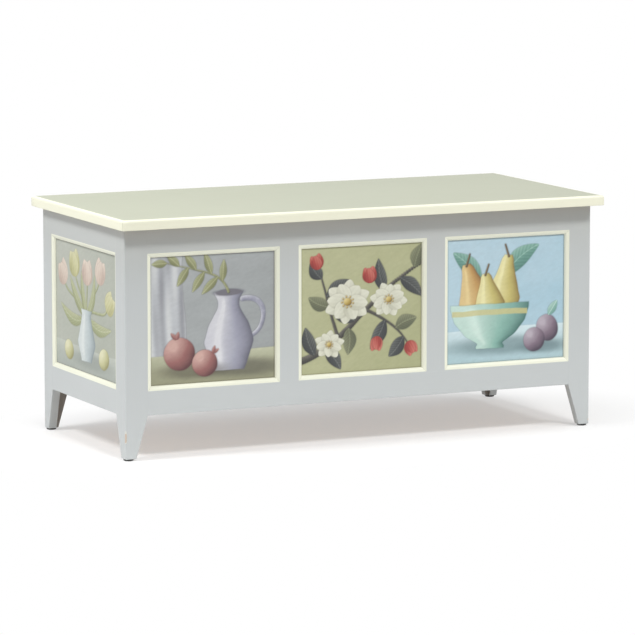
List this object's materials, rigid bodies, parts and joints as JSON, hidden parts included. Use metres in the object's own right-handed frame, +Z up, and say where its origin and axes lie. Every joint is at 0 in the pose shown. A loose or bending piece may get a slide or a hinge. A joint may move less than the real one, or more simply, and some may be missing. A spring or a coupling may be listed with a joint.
{
  "type": "blanket chest",
  "caption": "Painted blanket chest on tapered legs: framed carcass with recessed picture panels under an overhanging hinged lid.",
  "frame": {"origin": "centre of the overall box at floor level, under the glides", "axes": "+X along the length to the chest's right as seen from the front, +Y to the back, +Z up; the front faces -Y"},
  "size_m": [1.143, 0.523, 0.515],
  "materials": {
    "carcass_paint": "satin blue-grey paint on wood",
    "bead_paint": "satin cream paint on wood",
    "picture_panel": "hand-painted picture on board, satin",
    "plain_panel": "satin blue-grey paint on board",
    "lid_paint": "satin sage paint on wood",
    "lipping_paint": "satin cream paint on wood",
    "bare_wood": "bare pine",
    "hinge_metal": "lacquered brass",
    "screw_metal": "brass",
    "glide_plastic": "black plastic"
  },
  "bodies": {
    "carcass": {"back_bottom_rail": "carcass_paint", "back_centre_panel": "plain_panel", "back_cleat": "bare_wood", "back_left_muntin": "carcass_paint", "back_left_panel": "plain_panel", "back_left_stile": "carcass_paint", "back_right_muntin": "carcass_paint", "back_right_panel": "plain_panel", "back_right_stile": "carcass_paint", "back_top_rail": "carcass_paint", "bottom_board": "bare_wood", "bottom_screws": "screw_metal", "corner_blocks": "bare_wood", "foot_glides": "glide_plastic", "front_bottom_rail": "carcass_paint", "front_centre_bead": "bead_paint", "front_centre_panel": "picture_panel", "front_cleat": "bare_wood", "front_left_bead": "bead_paint", "front_left_muntin": "carcass_paint", "front_left_panel": "picture_panel", "front_left_stile": "carcass_paint", "front_right_bead": "bead_paint", "front_right_muntin": "carcass_paint", "front_right_panel": "picture_panel", "front_right_stile": "carcass_paint", "front_top_rail": "carcass_paint", "hinge_frame_screws": "screw_metal", "left_end_back_stile": "carcass_paint", "left_end_bead": "bead_paint", "left_end_bottom_rail": "carcass_paint", "left_end_cleat": "bare_wood", "left_end_front_stile": "carcass_paint", "left_end_panel": "picture_panel", "left_end_top_rail": "carcass_paint", "left_hinge_fixed_leaf": "hinge_metal", "left_hinge_pin": "hinge_metal", "right_end_back_stile": "carcass_paint", "right_end_bead": "bead_paint", "right_end_bottom_rail": "carcass_paint", "right_end_cleat": "bare_wood", "right_end_front_stile": "carcass_paint", "right_end_panel": "picture_panel", "right_end_top_rail": "carcass_paint", "right_hinge_fixed_leaf": "hinge_metal", "right_hinge_pin": "hinge_metal"},
    "lid": {"hinge_lid_screws": "screw_metal", "left_hinge_moving_leaf": "hinge_metal", "lid_back_lipping": "lipping_paint", "lid_core": "lid_paint", "lid_front_lipping": "lipping_paint", "lid_left_lipping": "lipping_paint", "lid_right_lipping": "lipping_paint", "right_hinge_moving_leaf": "hinge_metal"}
  },
  "joints": [
    {"name": "lid_hinge", "type": "hinge", "parent": "carcass", "child": "lid", "pos_m": [0, 0.2403, 0.4892], "axis": [-1, 0, 0], "range_deg": [0, 100]}
  ]
}
